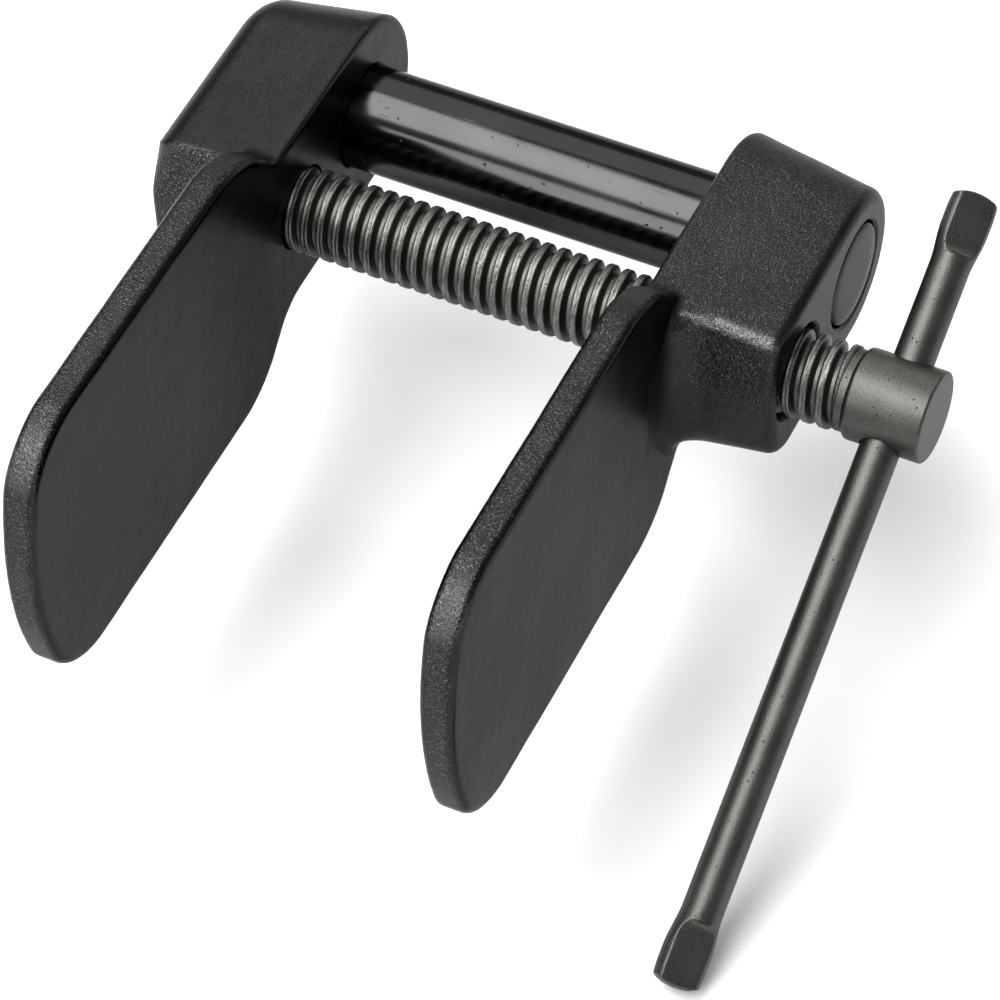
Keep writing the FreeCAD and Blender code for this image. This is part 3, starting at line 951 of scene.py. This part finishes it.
def cast_paint(f, fine, mottle, grain, edge, hollow, painted_highlight):
    """Colour of the paint: wide faces with painted light and shade, edges and hollows darkened as
    painted shade, pits, glints, edges lightened as painted highlights, dust.
    """
    paint = f.mix(f.span(mottle, 0.3, 0.7), grey(PAINT_DARK), grey(PAINT_LIGHT, (1.0, 0.99, 0.98)))
    # Paler wide faces towards the noses are painted light
    paint = f.mix(f.attribute("painted_light"), paint, grey(PAINT_LIT_FACE))
    # Darker wide faces next to the boss are painted shade
    paint = f.mix(f.math("MULTIPLY", f.attribute("painted_shade_by_boss"), 0.6), paint, grey(PAINT_SHADE_BY_BOSS))
    # Darker convex edges are painted shade
    paint = f.mix(f.math("MULTIPLY", edge, 0.7), paint, grey(PAINT_EDGE_SHADE))
    pits = f.math("MULTIPLY", f.span(fine, 0.37, 0.29), 0.6)
    paint = f.mix(pits, paint, grey(PAINT_PIT))
    # Darker paint in the hollows is painted shade
    paint = f.mix(f.math("MULTIPLY", hollow, 1.5), paint, grey(PAINT_HOLLOW_SHADE))
    glint = f.math("MULTIPLY", f.span(fine, 0.58, 0.70), f.scaled_add(grain, 0.5, 0.06))
    paint = f.mix(glint, paint, grey(PAINT_GLINT))
    # Paler paint on edges facing the top light is a painted highlight
    paint = f.mix(f.math("MULTIPLY", painted_highlight, 0.9), paint, grey(PAINT_HIGHLIGHT))
    return f.mix(f.spots(260.0, 0.03, 0.07, 0.94), paint, grey(DUST))


def cast_black(name):
    """Black paint over a blasted casting, which takes its grain, painted highlights and painted
    shade from the skin's marks.
    """
    f = Finish(name)
    grain = f.attribute("grain")
    painted_highlight = f.attribute("painted_highlight")
    edge = f.math("MAXIMUM", f.attribute("edge"), 0.0)
    # Hollows are rougher, and their darker paint is painted shade
    hollow = f.span(f.attribute("edge"), -0.12, -0.50, 0.0, 0.2)
    fine = f.noise(4200.0, 1.0)
    mottle = f.noise(90.0, 4.0)
    f.set(Base_Color=cast_paint(f, fine, mottle, grain, edge, hollow, painted_highlight))
    f.set(Metallic=1.0, Specular_Tint=grey(EDGE_ON_TINT))
    rough = f.scaled_add(mottle, 0.10, 0.26)
    for amount, change in ((grain, 0.04), (edge, -0.10), (hollow, 0.8), (painted_highlight, -0.08)):
        rough = f.scaled_add(amount, change, rough)
    f.set(Roughness=rough)
    waviness = f.bump(f.noise(330.0, 2.0), WAVINESS_DEPTH, strength=0.5)
    f.set(Normal=f.bump(cast_height(f, fine, grain), GRAIN_DEPTH, waviness))
    return f.material


def cast_machined(name):
    """Bores and spot faces cut after casting, with turning marks, their dark tone being painted
    shade.
    """
    f = Finish(name)
    rings = f.noise(1400.0, 2.0, f.stretched(1.0, 0.05, 0.05))
    # Near-black colour inside the bores is painted shade
    f.set(Base_Color=f.mix(f.noise(300.0, 3.0), grey(BORE_SHADE_DARK), grey(BORE_SHADE_LIGHT)), Metallic=0.3)
    f.set(Roughness=f.span(rings, 0.3, 0.7, 0.32, 0.5))
    f.set(Normal=f.bump(rings, BORE_DEPTH))
    return f.material


def bar_black(name):
    """Ground bar with a gloss black finish, faint drawing lines, pits and handling scratches."""
    f = Finish(name)
    lines = f.noise(60.0, 4.0, f.stretched(0.6, 30.0, 30.0))
    cloud = f.noise(70.0, 3.0)
    scratch = f.noise(9.0, 2.0, f.stretched(8.0, 160.0, 160.0, (0.0, 0.0, 0.35)))
    dark = grey(GLOSS_DARK, (1.0, 0.98, 0.95))
    f.set(Base_Color=f.mix(f.span(cloud, 0.35, 0.65), dark, grey(GLOSS_LIGHT)))
    f.set(Metallic=1.0, Specular_Tint=grey(EDGE_ON_TINT - 0.1))
    rough = f.scaled_add(f.span(lines, 0.35, 0.65), 0.04, 0.12)
    f.set(Roughness=f.scaled_add(f.span(cloud, 0.4, 0.6), 0.04, rough))
    relief = f.scaled_add(lines, 0.08, f.math("MULTIPLY", f.span(scratch, 0.68, 0.72), -0.3))
    pits = f.math("MULTIPLY", f.spots(420.0, 0.06, 0.16, 0.7), 1.5)
    f.set(Normal=f.bump(f.math("SUBTRACT", relief, pits), GLOSS_DEPTH))
    return f.material


def worn_and_lit_thread(f, base, lines, fine):
    """Colour of the screw, with grooves painted paler as painted light and rubbed patches on the
    crests.
    """
    crest = f.attribute("crest")
    # Paler grooves are painted light
    base = f.mix(f.span(crest, 0.1, 0.7), grey(STEEL_GROOVE_LIT, OLIVE), base)
    patches = f.span(f.scaled_add(fine, 0.7, lines), 0.70, 1.0)
    wear_and_highlight = f.math("MULTIPLY", f.span(crest, 0.85, 1.0, 0.0, 0.7), patches)
    wear_and_highlight = f.math("MULTIPLY", wear_and_highlight, f.attribute("thread"))
    return f.mix(wear_and_highlight, base, grey(STEEL_RUBBED, OLIVE))


def phosphate_steel(name, stretch, turn=(0, 0, 0), worn_and_lit=False):
    """Grey-olive phosphated steel with machining streaks and fine pits, worn on the thread, whose
    grooves get painted light.
    """
    f = Finish(name)
    lines = f.noise(450.0, 3.0, f.stretched(*stretch, turn))
    cloud = f.noise(160.0, 4.0)
    fine = f.noise(3800.0, 1.5)
    base = f.mix(f.span(cloud, 0.3, 0.7), grey(STEEL_DARK, OLIVE), grey(STEEL_LIGHT, OLIVE))
    base = f.mix(f.span(fine, 0.55, 0.75), base, grey(STEEL_FLECK, OLIVE))
    streaked = 0.15
    if worn_and_lit:
        base = worn_and_lit_thread(f, base, lines, fine)
        streaked = f.scaled_add(f.attribute("thread"), 0.15, 0.05)
    pit = f.spots(900.0, 0.08, 0.2, 0.6)
    f.set(Base_Color=f.mix(pit, base, grey(STEEL_PIT, OLIVE)), Metallic=1.0)
    f.set(Specular_Tint=grey(STEEL_EDGE_ON))
    f.set(Roughness=f.scaled_add(cloud, 0.08, 0.38))
    relief = f.scaled_add(lines, streaked, f.math("MULTIPLY", pit, -0.8))
    f.set(Normal=f.bump(f.scaled_add(fine, 0.8, relief), STEEL_DEPTH))
    return f.material


def ring_steel(name):
    """Spring steel with a thin dark finish."""
    f = Finish(name)
    f.set(Base_Color=f.mix(f.noise(400.0, 3.0), grey(0.02), grey(0.05)), Metallic=0.5)
    f.set(Roughness=f.span(f.noise(900.0, 2.0), 0.3, 0.7, 0.3, 0.45))
    f.set(Normal=f.bump(f.noise(1800.0, 2.0), FINE_DEPTH))
    return f.material


def plain_steel(name):
    """Bare steel of the washers."""
    f = Finish(name)
    marks = f.noise(500.0, 3.0)
    f.set(Base_Color=f.mix(marks, grey(0.35), grey(0.5, (1.0, 0.98, 0.94))), Metallic=1.0)
    f.set(Roughness=f.span(marks, 0.3, 0.7, 0.28, 0.42))
    f.set(Normal=f.bump(f.noise(1500.0, 2.0), FINE_DEPTH))
    return f.material


def floor_paper(name):
    """Matt white paper."""
    f = Finish(name)
    f.set(Base_Color=f.mix(f.noise(40.0, 2.0), grey(FLOOR_TONE), grey(FLOOR_TONE * 1.02)))
    f.set(Roughness=0.9)
    return f.material


# ---------------------------------------------------------------- stage

def make_camera():
    """The photograph's viewpoint, given by what it aims at and its right and up directions."""
    data = bpy.data.cameras.new("camera")
    data.lens = LENS
    data.sensor_width = SENSOR
    data.clip_start = CLIP_START
    data.clip_end = CLIP_END
    camera = bpy.data.objects.new("camera", data)
    bpy.context.scene.collection.objects.link(camera)
    back = VIEW_RIGHT.cross(VIEW_UP).normalized()
    turn = Matrix((VIEW_RIGHT, VIEW_UP, back)).transposed().to_4x4()
    turn.translation = AIM + back * DISTANCE
    camera.matrix_world = turn
    bpy.context.scene.camera = camera


def softbox(name, direction, distance, width, height, brightness):
    """A rectangular light that faces the object, with the light leaving each square metre."""
    data = bpy.data.lights.new(name, "AREA")
    data.shape = "RECTANGLE"
    data.size = width
    data.size_y = height
    data.energy = brightness * math.pi * width * height
    light = bpy.data.objects.new(name, data)
    bpy.context.scene.collection.objects.link(light)
    towards = Vector(direction).normalized()
    turn = towards.to_track_quat("Z", "Y").to_matrix().to_4x4()
    light.matrix_world = Matrix.Translation(AIM + towards * distance) @ turn


def make_stage():
    """Floor, even white surroundings and three soft lights."""
    size = FLOOR_HALF
    z = cad_box[0][2] - FLOOR_GAP
    corners = [(-size, -size, z), (size, -size, z), (size, size, z), (-size, size, z)]
    mesh = bpy.data.meshes.new("floor")
    mesh.from_pydata(corners, [], [(0, 1, 2, 3)])
    floor = bpy.data.objects.new("floor", mesh)
    bpy.context.scene.collection.objects.link(floor)
    mesh.materials.append(floor_paper("floor_paper"))
    world = bpy.data.worlds.new("studio")
    world.use_nodes = True
    background = world.node_tree.nodes["Background"]
    background.inputs["Color"].default_value = (1.0, 1.0, 1.0, 1.0)
    background.inputs["Strength"].default_value = STUDIO_STRENGTH
    bpy.context.scene.world = world
    for box in SOFTBOXES:
        softbox(*box)
    bpy.context.scene.view_settings.view_transform = "Standard"


# ---------------------------------------------------------------- assembly

def dress(obj, body, slot, node, *materials):
    """Gives a piece its materials and body, and lets it stand for its CAD node."""
    obj.data.materials.clear()
    for material in materials:
        obj.data.materials.append(material)
    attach(obj, body)
    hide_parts(node)


def repaint(node, material):
    """A new material for a CAD node that keeps its own mesh."""
    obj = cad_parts[node]
    for i in range(len(obj.material_slots)):
        obj.material_slots[i].material = material


make_camera()
make_stage()
skin = cast_black("cast_black_paint")
machined = cast_machined("cast_machined")
dress(make_fixed_jaw(), "frame", "jaw_casting", "fixed_jaw", skin, machined)
dress(make_sliding_jaw(), "slider", "jaw_casting", "sliding_jaw", skin, machined)
dress(make_guide_bar(), "frame", "bar_black", "guide_bar", bar_black("bar_gloss_black"))
screw_steel = phosphate_steel("screw_phosphate", (8.0, 1.0, 1.0), worn_and_lit=True)
dress(make_screw(), "screw", "screw_steel", "feed_screw", screw_steel)
tommy_steel = phosphate_steel("tommy_phosphate", (6.0, 1.0, 6.0), (-TOMMY_TILT, 0.0, 0.0))
dress(make_tommy(), "handle", "tommy_steel", "tommy_bar", tommy_steel)
for washer in ("thrust_washer", "end_washer"):
    repaint(washer, plain_steel(washer + "_steel"))
repaint("retaining_ring", ring_steel("ring_steel"))
